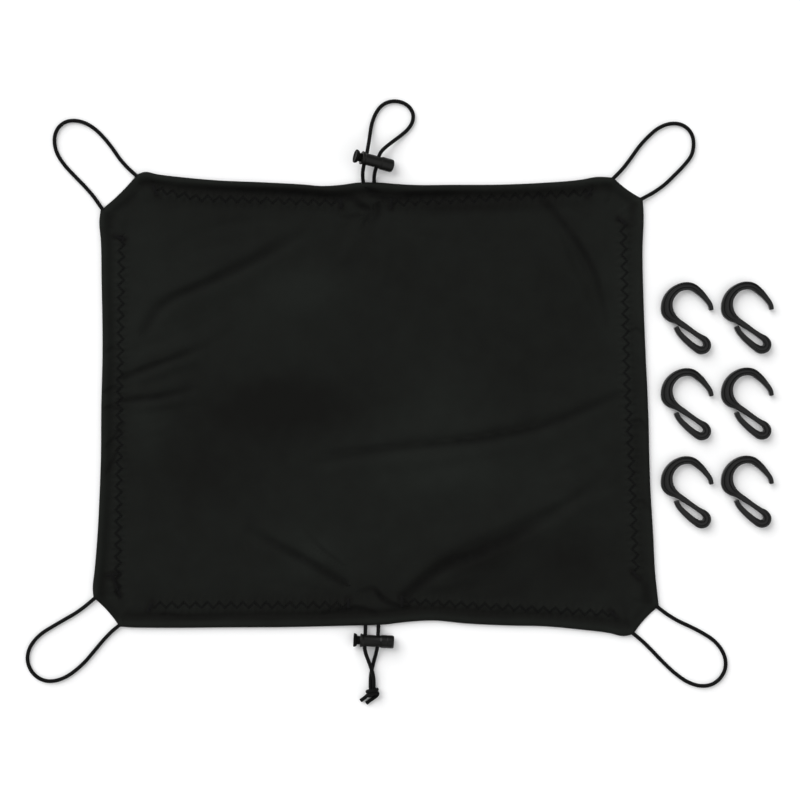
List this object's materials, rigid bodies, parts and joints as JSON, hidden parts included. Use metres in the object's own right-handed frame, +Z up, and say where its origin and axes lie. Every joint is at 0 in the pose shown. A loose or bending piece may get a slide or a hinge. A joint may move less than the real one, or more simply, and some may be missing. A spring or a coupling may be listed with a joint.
{
  "type": "cargo cover",
  "caption": "Stretch-cloth cargo cover laid flat, with cut corners, elastic cord loops, sprung cord locks, a tail knot and loose plastic hooks beside it.",
  "frame": {"origin": "middle of the cloth's underside, on the surface that it lies on", "axes": "+X along the cloth's long way, towards the hooks; +Y to the edge with the closed cord loop; +Z up from the surface"},
  "size_m": [0.635, 0.514, 0.0208],
  "materials": {
    "cloth": "matt black stretch weave",
    "cord": "black braided elastic cord",
    "lock_barrel": "satin moulded black",
    "lock_plunger": "satin moulded black",
    "hook": "satin moulded black"
  },
  "bodies": {
    "cover": {"cloth": "cloth", "corner_loop_top_left": "cord", "corner_loop_top_right": "cord", "corner_loop_bottom_left": "cord", "corner_loop_bottom_right": "cord", "lock_loop_top": "cord", "cord_tail_left": "cord", "cord_tail_right": "cord", "tail_knot": "cord", "lock_barrel_top": "lock_barrel", "lock_barrel_bottom": "lock_barrel", "hook_1": "hook", "hook_2": "hook", "hook_3": "hook", "hook_4": "hook", "hook_5": "hook", "hook_6": "hook"},
    "plunger_top": {"lock_plunger_top": "lock_plunger"},
    "plunger_bottom": {"lock_plunger_bottom": "lock_plunger"}
  },
  "joints": [
    {"name": "plunger_top_press", "type": "slide", "parent": "cover", "child": "plunger_top", "axis": [0.9244, -0.2236, -0.309], "range_m": [0, 0.0022], "stiffness_N_per_m": 500, "springref_m": -0.002},
    {"name": "plunger_bottom_press", "type": "slide", "parent": "cover", "child": "plunger_bottom", "axis": [0.9985, -0.0541, -0.007], "range_m": [0, 0.0022], "stiffness_N_per_m": 500, "springref_m": -0.002}
  ]
}
